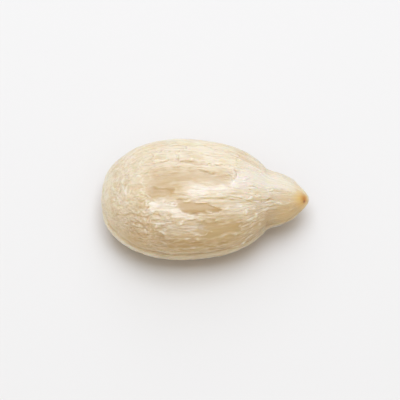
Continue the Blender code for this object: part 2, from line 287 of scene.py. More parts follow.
SHEET_EDGE = 0.05
SHEET_GROOVE = 0.45
SHEET_TEAR = (0.045, 0.4, 51)
SHEET_LIFT = (0.8, 0.45, 0.9, 52)
SHEETS = {
    "upper_flake": (0.03, 0.01, (
        (3.72, 1.75), (3.9, 2.0), (4.3, 2.16), (4.95, 2.14), (5.5, 1.9), (6.25, 1.93), (6.6, 1.8),
        (6.42, 1.35), (6.3, 1.2), (5.6, 1.14), (4.75, 1.21), (4.2, 1.34), (3.8, 1.36),
    )),
    "middle_flake": (0.025, 0.004, (
        (3.3, 1.02), (4.0, 1.2), (4.75, 1.15), (5.6, 1.08), (6.36, 1.12), (6.4, 0.56), (5.85, 0.73),
        (5.3, 0.75), (4.75, 0.85), (4.0, 0.9),
    )),
    "chip": (0.035, 0.015, ((2.45, 1.87), (3.6, 1.8), (3.62, 1.43), (2.8, 1.38), (2.48, 1.39))),
    "silver_front": (0.03, 0.008, (
        (2.15, -0.84), (2.45, -0.76), (3.05, -0.79), (3.55, -0.95), (3.85, -1.24), (4.65, -1.51),
        (4.35, -1.66), (3.6, -1.6), (2.8, -1.46), (2.2, -1.27),
    )),
    "silver_nose": (0.012, 0.0, (
        (6.3, 0.2), (6.55, 0.5), (6.8, 1.07), (7.15, 1.03), (7.75, 0.79), (8.8, 0.42), (8.6, 0.17),
        (7.75, 0.07), (6.9, -0.02), (6.2, -0.08),
    )),
}
WANDER = ((0.04, 0.8, 21), (0.022, 0.25, 22))
WANDER_LENGTHWISE = 0.45
UNEVEN = (0.45, 0.5, 31)
LIP_PATCHY = (0.85, 0.3, 2.5, 41)
OUTLINE_REACH = 0.6
FAR_OUTSIDE = -10.0


def soft_step(value):
    value = np.clip(value, 0, 1)
    return value * value * (3 - 2 * value)


def ramp(value, start, end):
    """Climb smoothly from 0 where the value is start to 1 where it is end."""
    return soft_step((value - start) / (end - start))


def place_on_crown(plan_points):
    """Lift plan points (x, y) on to the bare skin of the crown."""
    x, y = np.array(plan_points, dtype=float).T
    share = x / LENGTH
    power = section_power(share)
    sideways = np.clip(np.abs(y) / half_width(share), 0, 1)
    z = crown_height(share) * (1 - sideways**power) ** (1 / power)
    return np.stack((x, y, z), axis=1)


def round_path(plan_points, pieces=5):
    """A smooth path on the crown through the plan points."""
    plan_points = np.array(plan_points, dtype=float)
    steps = np.concatenate(([0], np.cumsum(np.linalg.norm(np.diff(plan_points, axis=0), axis=1))))
    fine = np.linspace(0, steps[-1], pieces * (len(plan_points) - 1) + 1)
    if len(plan_points) < 3:
        columns = [np.interp(fine, steps, column) for column in plan_points.T]
    else:
        columns = [curve_through(list(zip(steps, column)), fine) for column in plan_points.T]
    return place_on_crown(np.stack(columns, axis=1))


def ripple(points, wavelength, seed, waves=8):
    """A smooth noise about 1 high: seeded sine waves that cross in every direction."""
    draw = np.random.default_rng(seed)
    total = np.zeros(len(points))
    for _ in range(waves):
        direction = draw.normal(size=3)
        direction *= 2 * np.pi / (np.linalg.norm(direction) * wavelength * draw.uniform(0.7, 1.4))
        total += np.sin(points @ direction + draw.uniform(0, 2 * np.pi))
    return total / math.sqrt(waves / 2)


def wandering(points):
    """The skin's points pushed a little out of line, so that what is drawn on them comes out wavy."""
    moved = points.copy()
    for amount, wavelength, seed in WANDER:
        drawn = points * (WANDER_LENGTHWISE, 1, 1)
        push = [ripple(drawn, wavelength, seed + 100 * axis) for axis in range(3)]
        moved += amount * np.stack(push, axis=1)
    return moved


def varied(middle, amount, wavelength, seed):
    """A value for each point of the skin that wanders by an amount about its middle."""
    return middle + amount * ripple(bare_skin, wavelength, seed)


drawn_on = wandering(bare_skin)
uneven = varied(1, *UNEVEN)
torn = varied(0, *SHEET_TEAR)
lifted = np.clip(varied(*SHEET_LIFT), 0.1, 1.2)


def nearest_on_path(points, path):
    """Distance from each point to the path, and the share of the path's length where it is nearest."""
    run = np.concatenate(([0], np.cumsum(np.linalg.norm(np.diff(path, axis=0), axis=1))))
    distance = np.full(len(points), np.inf)
    share = np.zeros(len(points))
    for i, (start, end) in enumerate(zip(path[:-1], path[1:])):
        edge = end - start
        t = np.clip((points - start) @ edge / (edge @ edge), 0, 1)
        away = np.linalg.norm(points - start - t[:, None] * edge, axis=1)
        nearer = away < distance
        distance = np.where(nearer, away, distance)
        share = np.where(nearer, (run[i] + t * (run[i + 1] - run[i])) / run[-1], share)
    return distance, share


def near_path(path, reach):
    """Which points of the skin lie within reach of the path's box."""
    low, high = path.min(axis=0) - reach, path.max(axis=0) + reach
    return np.flatnonzero(((drawn_on > low) & (drawn_on < high)).all(axis=1))


def fold(fold_height, width, plan_points, end_fade=0.2):
    """A rounded ridge, or a crease where its height is negative, that dies out at both its ends."""
    path = round_path(plan_points)
    near = near_path(path, 3 * width)
    distance, share = nearest_on_path(drawn_on[near], path)
    shape = np.zeros(len(bare_skin))
    ends = soft_step(np.minimum(share, 1 - share) / end_fade) if end_fade else 1
    shape[near] = fold_height * ends * np.exp(-((distance / width) ** 2))
    return shape


def inside_plan(points, corners):
    """Which points of the crown lie inside a closed outline, seen from above."""
    x, y = points[:, 0], points[:, 1]
    inside = np.zeros(len(points), dtype=bool)
    for (x0, y0), (x1, y1) in zip(corners, corners[1:] + corners[:1]):
        if y0 == y1:
            continue
        crosses = (y0 > y) != (y1 > y)
        inside ^= crosses & (x < x0 + (x1 - x0) * (y - y0) / (y1 - y0))
    return inside & (points[:, 2] > 0)


def depth_inside(corners):
    """Distance from each point of the skin to an outline on the crown, above 0 inside it."""
    path = place_on_crown(corners + corners[:1])
    near = near_path(path, OUTLINE_REACH)
    distance, _ = nearest_on_path(drawn_on[near], path)
    depth = np.full(len(bare_skin), FAR_OUTSIDE)
    depth[near] = np.where(inside_plan(drawn_on[near], corners), distance, -distance)
    return depth + torn


def sheet(sheet_height, curl, corners):
    """A layer of skin that stands proud, with its edge curled up a little."""
    depth = depth_inside(corners)
    edge = np.exp(-(((depth - SHEET_EDGE) / SHEET_EDGE) ** 2))
    groove = SHEET_GROOVE * np.exp(-(((depth + SHEET_EDGE) / SHEET_EDGE) ** 2))
    return (sheet_height * (soft_step(depth / SHEET_EDGE + 0.5) - groove) + curl * edge) * lifted


def lines(count, line_height, width, first_guide, last_guide, seed):
    """Fine ridges side by side between two guide lines, each with its own start and end."""
    draw = np.random.default_rng(seed)
    total = np.zeros(len(bare_skin))
    guide_shares = np.linspace(0, 1, len(first_guide))
    for place in np.linspace(0, 1, count):
        middle = (1 - place) * np.array(first_guide) + place * np.array(last_guide)
        shares = np.linspace(draw.uniform(*LINE_STARTS), draw.uniform(*LINE_ENDS), 6)
        path = np.stack([np.interp(shares, guide_shares, column) for column in middle.T], axis=1)
        total += fold(line_height * draw.uniform(*LINE_STRENGTHS), width, path, end_fade=0.15)
    return total


def chips(count, seed):
    """Short raised flecks of skin strewn over a few fields, each turned off the kernel's length."""
    draw = np.random.default_rng(seed)
    total = np.zeros(len(bare_skin))
    for i in range(count):
        (x_low, x_high), (y_low, y_high), slant = CHIP_FIELDS[i % len(CHIP_FIELDS)]
        middle = np.array((draw.uniform(x_low, x_high), draw.uniform(y_low, y_high)))
        angle, reach = draw.normal(0, slant), draw.uniform(*CHIP_LENGTHS) / 2
        step = reach * np.array((math.cos(angle), math.sin(angle)))
        chip_height = draw.uniform(*CHIP_HEIGHTS)
        total += fold(chip_height, CHIP_HALF_WIDTH, (middle - step, middle + step), end_fade=0.3)
    return total


def lip():
    """The grooves above and below the rim, smaller towards the tip."""
    size = 1 - (1 - LIP_NOSE_SHARE) * ramp(along, *LIP_NARROWS)
    from_groove = (np.abs(bare_skin[:, 2]) - LIP_OFFSET * size) / (LIP_GROOVE_HALF_WIDTH * size)
    patchy = np.clip(varied(*LIP_PATCHY), 0.3, 1.3)
    return -LIP_GROOVE_DEPTH * size * patchy * np.exp(-(from_groove**2))


def ribs(face, count, rib_height, seed):
    """Ribs at steady shares of the width, each with its own slow drift, height, start and end."""
    draw = np.random.default_rng(seed)
    total = np.zeros(len(bare_skin))
    for place in np.linspace(-RIB_SPREAD, RIB_SPREAD, count):
        drift, phase, waves = draw.uniform(0.3, 1), draw.uniform(0, 2 * np.pi), draw.uniform(0.7, 1.6)
        strength, start, end = draw.uniform(0.5, 1), draw.uniform(0.08, 0.2), draw.uniform(0.8, 0.92)
        middle = place + RIB_DRIFT * drift * np.sin(2 * np.pi * waves * along + phase)
        shape = np.exp(-(((across - middle) / RIB_HALF_WIDTH) ** 2))
        fade = ramp(along, start, start + RIB_FADE) * ramp(along, end, end - RIB_FADE)
        total += rib_height * strength * shape * fade
    return total * ramp(rise * face, *RIB_RISE)


relief = lip() + ribs(1, *CROWN_RIBS) + ribs(-1, *BELLY_RIBS)
for depth, width, line in HOLLOWS.values():
    relief += fold(-depth, width, line, end_fade=0)
for fold_height, width, line in FOLDS.values():
    relief += fold(fold_height, width, line) * uneven
threads = sum(lines(*settings) for settings in LINE_GUIDES.values())
relief += threads * (1 + uneven) / 2
relief += chips(CHIP_COUNT, CHIP_SEED)
for sheet_height, curl, corners in SHEETS.values():
    relief += sheet(sheet_height, curl, corners)
floor = REST_FLATTENING - belly_depth(along).max()
free_of_rest = ramp(bare_skin[:, 2], floor, floor + REST_BLEND)
skin_points = bare_skin + bare_normals * (relief * free_of_rest)[:, None]
skin_points[:, 2] = np.maximum(skin_points[:, 2], floor) - floor
box_start = np.array((cad_low.x, (cad_low.y + cad_high.y) / 2, cad_low.z))
write_points(body_mesh, skin_points * METRES_PER_MM + box_start)

# The papery skin over the body: it is silvery where it has lifted, with painted highlight on the crown and
# nose, clear and beige where it lies tight, smooth along the back rim, crazed like crepe at the blunt end,
# and orange-brown at the tip. Each of these is a mask that the grain and the colours below read.

# A patch has a strength, the width of its soft edge in millimetres, and the plan points of its outline.

# Silver patches are lifted, silvery skin; the crown and nose patches also carry painted highlight.
SILVER_AND_HIGHLIGHT_PATCHES = {
    "crown": (0.88, 0.9, (
        (4.15, 0.0), (4.95, 0.12), (5.9, 0.15), (6.1, -0.1), (5.7, -0.37), (4.95, -0.5),
        (4.3, -0.41),
    )),
    "front": (0.62, 0.35, (
        (2.12, -0.74), (2.5, -0.7), (3.1, -0.76), (3.55, -0.9), (3.9, -1.22), (4.4, -1.55),
        (3.9, -1.6), (3.3, -1.5), (2.6, -1.4), (2.15, -1.22),
    )),
    "front_tail": (0.65, 0.3, ((3.4, -1.33), (3.85, -1.3), (4.65, -1.51), (4.35, -1.66), (3.6, -1.57))),
    "nose": (1.0, 0.7, (
        (6.2, 0.2), (6.7, 1.15), (7.2, 1.15), (7.9, 1.0), (9.2, 0.55), (9.3, 0.2), (8.0, 0.0),
        (6.9, -0.1), (6.2, -0.1),
    )),
    "front_low": (0.6, 0.6, (
        (2.7, -1.55), (3.6, -1.62), (4.7, -1.75), (5.1, -1.95), (4.2, -2.1), (3.2, -2.15),
        (2.6, -1.9),
    )),
    "crackle": (0.9, 0.3, ((6.85, 1.3), (7.1, 1.3), (7.2, 0.65), (6.95, 0.6))),
    "flake": (0.1, 0.3, SHEETS["upper_flake"][2]),
    "spine": (0.35, 0.3, (
        (4.3, -0.45), (5.8, -0.4), (7.2, -0.3), (7.1, -0.6), (5.8, -0.65), (4.4, -0.68),
    )),
    "cheek": (0.5, 0.7, ((6.0, -0.75), (7.9, -0.5), (7.8, -0.8), (6.6, -1.2), (6.1, -1.1))),
}
CLEAR_PATCHES = {
    "trough": (0.85, 1.0, (
        (2.3, 0.2), (2.4, 0.62), (2.7, 0.84), (3.55, 0.84), (4.75, 0.75), (5.8, 0.57), (6.2, 0.38),
        (5.8, 0.2), (4.75, 0.17), (4.0, 0.0), (3.3, -0.04), (2.55, -0.02),
    )),
    "hollow": (0.9, 0.7, (
        (2.25, -0.15), (2.45, -0.03), (3.05, -0.04), (3.4, -0.2), (3.3, -0.5), (2.8, -0.58),
        (2.4, -0.56),
    )),
    "pane": (1.0, 0.2, (
        (3.6, -0.85), (4.25, -0.82), (5.0, -0.81), (5.3, -0.93), (5.85, -1.1), (5.6, -1.27),
        (5.0, -1.36), (4.25, -1.38), (3.9, -1.29),
    )),
    "low_pane": (0.9, 0.4, (
        (5.05, -1.59), (5.95, -1.6), (6.7, -1.56), (6.75, -1.87), (6.5, -2.14), (5.95, -2.39),
        (5.25, -2.44), (4.75, -2.34), (4.55, -2.01),
    )),
    "nose_pane": (0.3, 0.5, (
        (7.75, -1.02), (8.35, -0.77), (9.1, -0.54), (9.55, -0.49), (9.45, -0.71), (9.1, -1.0),
        (8.5, -1.26), (8.05, -1.4), (7.55, -1.48),
    )),
}
HOLLOW_SHADE = {
    "low_left": (0.5, 0.5, (
        (1.25, -1.55), (1.7, -1.4), (2.2, -1.6), (2.3, -2.0), (1.8, -2.2), (1.3, -1.95),
    )),
    "low_band": (1.0, 0.25, (
        (2.8, -2.4), (3.6, -2.6), (5.2, -2.6), (6.0, -2.4), (6.0, -2.55), (5.2, -2.8), (3.6, -2.82),
        (2.8, -2.6),
    )),
    "pane": (0.85, 0.3, CLEAR_PATCHES["pane"][2]),
    "trough": (0.35, 1.0, CLEAR_PATCHES["trough"][2]),
    "hollow": (1.0, 1.1, (
        (2.1, -0.05), (2.5, 0.2), (3.3, 0.2), (4.1, 0.0), (3.8, -0.35), (3.3, -0.62), (2.6, -0.65),
        (2.2, -0.5),
    )),
}

# Each pair below is where a mask starts and where it is full: along the kernel's length, across its
# width, up from its rim as a share of the height, or off its rim in millimetres.

SMOOTH_ACROSS = (-0.1, 0.3)
SMOOTH_BLUNT_END = (0.2, 0.1)
SMOOTH_ALONG = (0.75, 0.55)
SMOOTH_RISE = (0, 0.1)
SMOOTH_BAND_TOP = (0.67, 0.42)
SMOOTH_TIP = (0.9, 0.98)
SMOOTH_LIP = (0.12, 0.02)
SMOOTH_LIP_SHARE = 0.6
CREPE_ALONG = (0.3, 0.13)
CREPE_FRONT_ALONG = (0.45, 0.3)
CREPE_FRONT_ACROSS = (-0.35, -0.55)
CREPE_FRONT_SHARE = 0.8
CREPE_NEAR_RIM = (0.6, 0.2)
CREPE_RIM_SHARE = 0.4
CREPE_NEAR_BLUNT_END = (0.09, 0.02)
CREPE_BLUNT_SHARE = 0.3
LIP_BAND = 0.24
LIP_ALONG = (0.9, 0.7)
LIP_FRONT_ALONG = (0.4, 0.2)
LIP_FRONT_GAIN = 0.9
# Painted light: the lip's pale is laid on thick over the blunt end, which lies in shade.
LIP_PAINTED_LIGHT_END = (0.07, 0.01)
LIP_PAINTED_LIGHT_SHARE = 1.15
FRONT_ACROSS = (-0.3, -0.6)
BELLY_RISE = (-0.1, -0.4)
# Painted light: the shaded blunt end and nose underside are pushed towards the paler back colour.
PAINTED_LIGHT_BLUNT_SPAN = (0.2, 0.03)
PAINTED_LIGHT_BLUNT_SHARE = 0.75
PAINTED_LIGHT_NOSE_SPAN = (0.75, 0.85)
PAINTED_LIGHT_NOSE_SHARE = 0.35

# A spot has a centre in plan and a reach.

TIP_STAIN = ((9.76, -0.12), 0.22)
TIP_GLOW = ((9.6, -0.2), 0.4)
TIP_POINT = ((9.76, -0.24), 0.07)
# Painted light: a warm, paler spot on the shaded underside of the nose.
NOSE_UNDERSIDE_PAINTED_LIGHT = ((8.8, -0.85), 0.6)
NOSE_UNDERSIDE_PAINTED_LIGHT_SHARE = 0.35
SHOULDER_STAIN = ((6.85, 1.7), 0.35)
SHOULDER_STAIN_SHARE = 0.12
FLOW_RADIUS = 2.4
FLOW_FULL_FROM = 0.38


def union(patches):
    """The strongest of several patches at each point, each soft over its own edge."""
    cover = np.zeros(len(bare_skin))
    for strength, edge, corners in patches.values():
        cover = np.maximum(cover, strength * soft_step(depth_inside(corners) / edge + 0.5))
    return cover


def spot(centre, reach):
    """A soft round mark on the crown."""
    away = np.linalg.norm(bare_skin - place_on_crown([centre])[0], axis=1)
    return np.exp(-((away / reach) ** 2))


def store(mesh, name, values):
    kind = "FLOAT" if values.ndim == 1 else "FLOAT_VECTOR"
    field = "value" if values.ndim == 1 else "vector"
    attribute = mesh.attributes.new(name, kind, "POINT")
    attribute.data.foreach_set(field, values.astype(np.float32).ravel())


silver_and_highlight = union(SILVER_AND_HIGHLIGHT_PATCHES)
clear = union(CLEAR_PATCHES)
off_rim = np.abs(bare_skin[:, 2])
front = ramp(across, *FRONT_ACROSS)
back_or_blunt_end = np.clip(ramp(across, *SMOOTH_ACROSS) + ramp(along, *SMOOTH_BLUNT_END), 0, 1)
smooth = ramp(rise, *SMOOTH_BAND_TOP) * back_or_blunt_end
smooth = smooth * ramp(along, *SMOOTH_ALONG) * ramp(rise, *SMOOTH_RISE)
smooth = np.maximum(smooth, ramp(along, *SMOOTH_TIP))
smooth = np.maximum(smooth, SMOOTH_LIP_SHARE * ramp(along, *SMOOTH_LIP))
crepe_front = ramp(along, *CREPE_FRONT_ALONG) * ramp(across, *CREPE_FRONT_ACROSS)
crepe = np.maximum(ramp(along, *CREPE_ALONG), CREPE_FRONT_SHARE * crepe_front)
crepe = crepe * (1 - clear) * (1 - smooth)
crepe = crepe * (1 - (1 - CREPE_RIM_SHARE) * ramp(off_rim, *CREPE_NEAR_RIM))
crepe = crepe * (1 - (1 - CREPE_BLUNT_SHARE) * ramp(along, *CREPE_NEAR_BLUNT_END))
# The lip is pale along the rim in its own colour; over the shaded blunt end the pale is painted light.
pale_lip_and_painted_light = np.exp(-((off_rim / LIP_BAND) ** 2)) * ramp(along, *LIP_ALONG)
pale_lip_and_painted_light = pale_lip_and_painted_light * (1 + LIP_FRONT_GAIN * front * ramp(along, *LIP_FRONT_ALONG))
pale_lip_and_painted_light = np.maximum(pale_lip_and_painted_light, LIP_PAINTED_LIGHT_SHARE * ramp(along, *LIP_PAINTED_LIGHT_END))
# Painted light on the shaded blunt end and nose underside.
painted_light_ends = PAINTED_LIGHT_BLUNT_SHARE * ramp(along, *PAINTED_LIGHT_BLUNT_SPAN) + PAINTED_LIGHT_NOSE_SHARE * ramp(along, *PAINTED_LIGHT_NOSE_SPAN)
flow_radius = FLOW_RADIUS * np.where(along < FLOW_FULL_FROM, outline(PLAN, along), 1)
masks = {
    "silver_and_highlight": silver_and_highlight,
    "clear": clear,
    "smooth": smooth,
    "crepe": crepe,
    "lip": pale_lip_and_painted_light,
    "worn": front,
    # Painted light and shade: this mask turns the cover paler towards the back and beiger towards the
    # front.
    "light_and_shade_side": across + painted_light_ends,
    "belly": ramp(rise, *BELLY_RISE),
    "hollow": union(HOLLOW_SHADE),
    "thread": threads / THREAD_HEIGHT,
    "free": free_of_rest,
    # The tip's own yellow, with painted light on the shaded nose underside.
    "tip_yellow_and_nose_light": np.maximum(spot(*TIP_GLOW), NOSE_UNDERSIDE_PAINTED_LIGHT_SHARE * spot(*NOSE_UNDERSIDE_PAINTED_LIGHT)),
    "stain": np.maximum(spot(*TIP_STAIN), SHOULDER_STAIN_SHARE * spot(*SHOULDER_STAIN)),
    "point": spot(*TIP_POINT),
    "flow": np.stack((LENGTH * along, flow_radius * np.cos(turn), flow_radius * np.sin(turn)), axis=1),
}
for name, values in masks.items():
    store(body_mesh, name, values)
body_mesh.shade_smooth()

# The grain of the skin: fine wrinkles that run along the kernel and close up towards the nose, and the
# crazing of the blunt end. A geometry tree raises both from the skin, by noise that follows the flow.


class Wire:
    """A socket in a node tree. Sums on wires add the Math nodes that work them out."""

    def __init__(self, tree, socket):
        self.tree = tree
        self.socket = socket

    def sum(self, operation, first, second):
        return add_node(self.tree, "ShaderNodeMath", {"operation": operation}, {0: first, 1: second})

    def __add__(self, other):
        return self.sum("ADD", self, other)

    def __radd__(self, other):
        return self.sum("ADD", other, self)

    def __sub__(self, other):
        return self.sum("SUBTRACT", self, other)

    def __rsub__(self, other):
        return self.sum("SUBTRACT", other, self)

    def __mul__(self, other):
        return self.sum("MULTIPLY", self, other)

    def __rmul__(self, other):
        return self.sum("MULTIPLY", other, self)

    def __truediv__(self, other):
        return self.sum("DIVIDE", self, other)

    def __rtruediv__(self, other):
        return self.sum("DIVIDE", other, self)

    def __pow__(self, other):
        return self.sum("POWER", self, other)

    def __abs__(self):
        return self.sum("ABSOLUTE", self, 0)


def add_node(tree, kind, settings, sockets, output=0):
    """Add a node, set it up, then fill its sockets with values or wires. Returns one of its outputs."""
    node = tree.nodes.new(kind)
    for name, value in settings.items():
        setattr(node, name, value)
    for key, value in sockets.items():
        socket = node.inputs[key]
        if isinstance(value, Wire):
            tree.links.new(value.socket, socket)
        else:
            socket.default_value = value
    return Wire(tree, node.outputs[output])


def open_tree(name, inputs):
    """A geometry tree with named inputs. Returns it, its incoming geometry and a wire for each input."""
    tree = bpy.data.node_groups.new(name, "GeometryNodeTree")
    tree.interface.new_socket("Geometry", in_out="INPUT", socket_type="NodeSocketGeometry")
    tree.interface.new_socket("Geometry", in_out="OUTPUT", socket_type="NodeSocketGeometry")
    for label, value in inputs.items():
        kind = "NodeSocketInt" if isinstance(value, int) else "NodeSocketFloat"
        tree.interface.new_socket(label, in_out="INPUT", socket_type=kind)
    start = tree.nodes.new("NodeGroupInput")
    wires = {label: Wire(tree, start.outputs[label]) for label in inputs}
    return tree, Wire(tree, start.outputs["Geometry"]), wires


def close_tree(tree, geometry, material):
    """End a geometry tree in real faces that carry the material."""
    real = add_node(tree, "GeometryNodeRealizeInstances", {}, {0: geometry})
    dressed = add_node(tree, "GeometryNodeSetMaterial", {}, {"Geometry": real, "Material": material})
    tree.links.new(dressed.socket, tree.nodes.new("NodeGroupOutput").inputs[0])


def grow(name, mesh, tree, inputs):
    """Run a geometry tree on a mesh, and return the plain mesh that it makes."""
    carrier = bpy.data.objects.new(name, mesh)
    bpy.context.scene.collection.objects.link(carrier)
    modifier = carrier.modifiers.new(name, "NODES")
    modifier.node_group = tree
    for item in tree.interface.items_tree:
        if item.in_out == "INPUT" and item.name in inputs:
            modifier[item.identifier] = inputs[item.name]
    graph = bpy.context.evaluated_depsgraph_get()
    grown = carrier.evaluated_get(graph)
    made = bpy.data.meshes.new_from_object(grown, preserve_all_data_layers=True, depsgraph=graph)
    bpy.data.objects.remove(carrier)
    made.name = name
    return made


def attribute(tree, name, kind="FLOAT"):
    settings = {"data_type": kind}
    return add_node(tree, "GeometryNodeInputNamedAttribute", settings, {"Name": name})


def stretched(tree, vector, lengthwise, crosswise):
    """The flow, measured in wrinkle lengths along the kernel and wrinkle widths round it."""
    shares = {0: 1 / lengthwise, 1: 1 / crosswise, 2: 1 / crosswise}
    scale = add_node(tree, "ShaderNodeCombineXYZ", {}, shares)
    return add_node(tree, "ShaderNodeVectorMath", {"operation": "MULTIPLY"}, {0: vector, 1: scale})


def scaled(tree, vector, amount):
    settings = {"operation": "SCALE"}
    return add_node(tree, "ShaderNodeVectorMath", settings, {0: vector, "Scale": amount})


def noise(tree, vector, seed, detail=2.0, distortion=0.0, roughness=0.5):
    """Noise with about one wave to each unit of the vector, and 0.5 as its middle value."""
    sockets = {"Vector": vector, "W": seed, "Scale": 1.0}
    sockets |= {"Detail": detail, "Roughness": roughness, "Distortion": distortion}
    return add_node(tree, "ShaderNodeTexNoise", {"noise_dimensions": "4D"}, sockets)


def crests(value):
    """Turn a smooth noise into sharp crests where it passes its middle value."""
    return 1 - abs(value * 2 - 1)


def clamp(value):
    return add_node(value.tree, "ShaderNodeClamp", {}, {0: value})


def climb(value, start, end):
    """Climb steadily from 0 where the wire is start to 1 where it is end."""
    return clamp((value - start) / (end - start))


skin_material = bpy.data.materials.new("papery_skin")

GRAIN = {
    "Wrinkle Height": 0.034, "Wrinkle Width": 0.32, "Wrinkle Length": 2.4,
    "Hair Height": 0.026, "Hair Width": 0.14, "Hair Length": 1.2,
    "Crepe Height": 0.085, "Crepe Size": 0.62, "Patch Size": 1.1, "Seed": 7,
}
PATCH_LENGTHWISE = 1.6
PATCH_RANGE = (0.44, 0.44 + 1 / 7)
WRINKLE_SHARPNESS = 8
HAIR_SHARPNESS = 7
CREPE_LENGTHWISE, CREPE_CROSSWISE = 1.5, 0.8
CREPE_SHARPNESS = 7
CREPE_LEAST = 0.3
WRINKLE_LOSS = {"clear": 0.9, "smooth": 0.9, "silver_and_highlight": 0.95}
WRINKLE_GAIN, WORN_WRINKLE_GAIN = 1.1, 0.15
HAIR_LOSS_IN_CREPE = 0.6

grain_tree, incoming, size = open_tree("skin_grain", GRAIN)
flow_wire = attribute(grain_tree, "flow", "FLOAT_VECTOR")
clear_wire = attribute(grain_tree, "clear")
smooth_wire = attribute(grain_tree, "smooth")
crepe_wire = attribute(grain_tree, "crepe")
free_wire = attribute(grain_tree, "free")
worn_wire = attribute(grain_tree, "worn")
silver_and_highlight_wire = attribute(grain_tree, "silver_and_highlight")
facing = add_node(grain_tree, "GeometryNodeInputNormal", {}, {})
seed = size["Seed"]
patch_size = size["Patch Size"]
patch_place = stretched(grain_tree, flow_wire, patch_size * PATCH_LENGTHWISE, patch_size)
patches = climb(noise(grain_tree, patch_place, seed + 20, 1.0), *PATCH_RANGE)
wrinkle_place = stretched(grain_tree, flow_wire, size["Wrinkle Length"], size["Wrinkle Width"])
wrinkles = crests(noise(grain_tree, wrinkle_place, seed, 2.0, 0.6)) ** WRINKLE_SHARPNESS
hair_place = stretched(grain_tree, flow_wire, size["Hair Length"], size["Hair Width"])
hairs = crests(noise(grain_tree, hair_place, seed + 3, 1.0, 0.3)) ** HAIR_SHARPNESS * patches
crepe_size = size["Crepe Size"]
crepe_length, crepe_width = crepe_size * CREPE_LENGTHWISE, crepe_size * CREPE_CROSSWISE
crepe_place = stretched(grain_tree, flow_wire, crepe_length, crepe_width)
crazing = crests(noise(grain_tree, crepe_place, seed + 11, 3.0, 2.0)) ** CREPE_SHARPNESS
crazing = crazing * (patches * (1 - CREPE_LEAST) + CREPE_LEAST)
wrinkled_share = 1 - clear_wire * WRINKLE_LOSS["clear"]
wrinkled_share = wrinkled_share * (1 - smooth_wire * WRINKLE_LOSS["smooth"])
wrinkled_share = wrinkled_share * (1 - silver_and_highlight_wire * WRINKLE_LOSS["silver_and_highlight"])
wrinkled_share = wrinkled_share * (WRINKLE_GAIN + worn_wire * WORN_WRINKLE_GAIN)
hairs_raised = hairs * size["Hair Height"] * (1 - crepe_wire * HAIR_LOSS_IN_CREPE)
raised = (wrinkles * size["Wrinkle Height"] + hairs_raised) * wrinkled_share
raised = raised + crazing * crepe_wire * size["Crepe Height"]
shift = scaled(grain_tree, facing, raised * free_wire * METRES_PER_MM)
wrinkled = add_node(grain_tree, "GeometryNodeSetPosition", {}, {"Geometry": incoming, "Offset": shift})
close_tree(grain_tree, wrinkled, skin_material)
kernel_mesh = grow("kernel_skin_surface", body_mesh, grain_tree, GRAIN)


def hollowness(mesh, rounds=2):
    """How far each point lies below its neighbours, in millimetres: above 0 in creases, below on crests."""
    points = read_points(mesh) / METRES_PER_MM
    pairs = np.empty(2 * len(mesh.edges), dtype=np.int32)
    mesh.edges.foreach_get("vertices", pairs)
    pairs = pairs.reshape(-1, 2)
    count = np.bincount(pairs.ravel(), minlength=len(points))[:, None]
    settled = points
    for _ in range(rounds):
        total = np.zeros_like(points)
        np.add.at(total, pairs[:, 0], settled[pairs[:, 1]])
        np.add.at(total, pairs[:, 1], settled[pairs[:, 0]])
        settled = total / count
    return np.einsum("ij,ij->i", settled - points, read_normals(mesh))


# This measure sets painted shade in the creases and painted highlight on the crests.
store(kernel_mesh, "crease", hollowness(kernel_mesh))
kernel_mesh.shade_smooth()

# The skin's colours: cream, paler over the back as painted light where it faces the lamps, beiger
# towards the front as painted shade, and tan on the belly, with silvery streaks where it has lifted,
# painted paler still as highlight on the crown and nose, and darker flesh where it is clear or worn.
# Creases are painted brown as shade and crests pale as highlight, and the tip is stained orange with a
# brown point.

# The back's cream is painted light and the front's beige is painted shade; the back faces the lamps.
PAINTED_LIGHT_CREAM = (0.765, 0.69, 0.545, 1)
CREAM = (0.745, 0.64, 0.46, 1)
PAINTED_SHADE_BEIGE = (0.655, 0.50, 0.285, 1)
BEIGE = (0.565, 0.41, 0.2, 1)
BELLY_TAN = (0.58, 0.33, 0.12, 1)
TAN = (0.53, 0.355, 0.145, 1)
SILVER_AND_HIGHLIGHT_PALE = (0.815, 0.765, 0.69, 1)
# Painted highlight on crests, threads and crepe flecks; also the lip's and fibres' own pale.
PALE_SKIN_AND_HIGHLIGHT = (0.88, 0.79, 0.625, 1)
# The tip's own yellow, also laid as painted light under the nose.
TIP_AND_NOSE_LIGHT_YELLOW = (0.76, 0.52, 0.15, 1)
STAIN_ORANGE = (0.50, 0.24, 0.05, 1)
POINT_BROWN = (0.22, 0.08, 0.02, 1)
# Painted shade in creases, gaps and crazing; also the darker fibres' own brown.
SHADE_AND_FIBRE_BROWN = (0.50, 0.375, 0.225, 1)

# How far each thing shows at its strongest, and how steeply it comes in.

SHARES = {
    "clear": 0.85, "hollow": 0.7, "silver_and_highlight": 0.75, "belly": 0.8, "lip": 0.55, "gap_shade": 0.5, "thread": 0.6,
    "craze_shade": 0.3, "glint_fleck": 0.36, "fibre": 0.75, "tip_yellow_and_nose_light": 0.7,
}
COVER_STREAKS, COVER_MOTTLE, COVER_MIDDLE, COVER_SILVER = 1.8, 1.3, 0.82, 0.5
SIDE_MOTTLE = 0.8
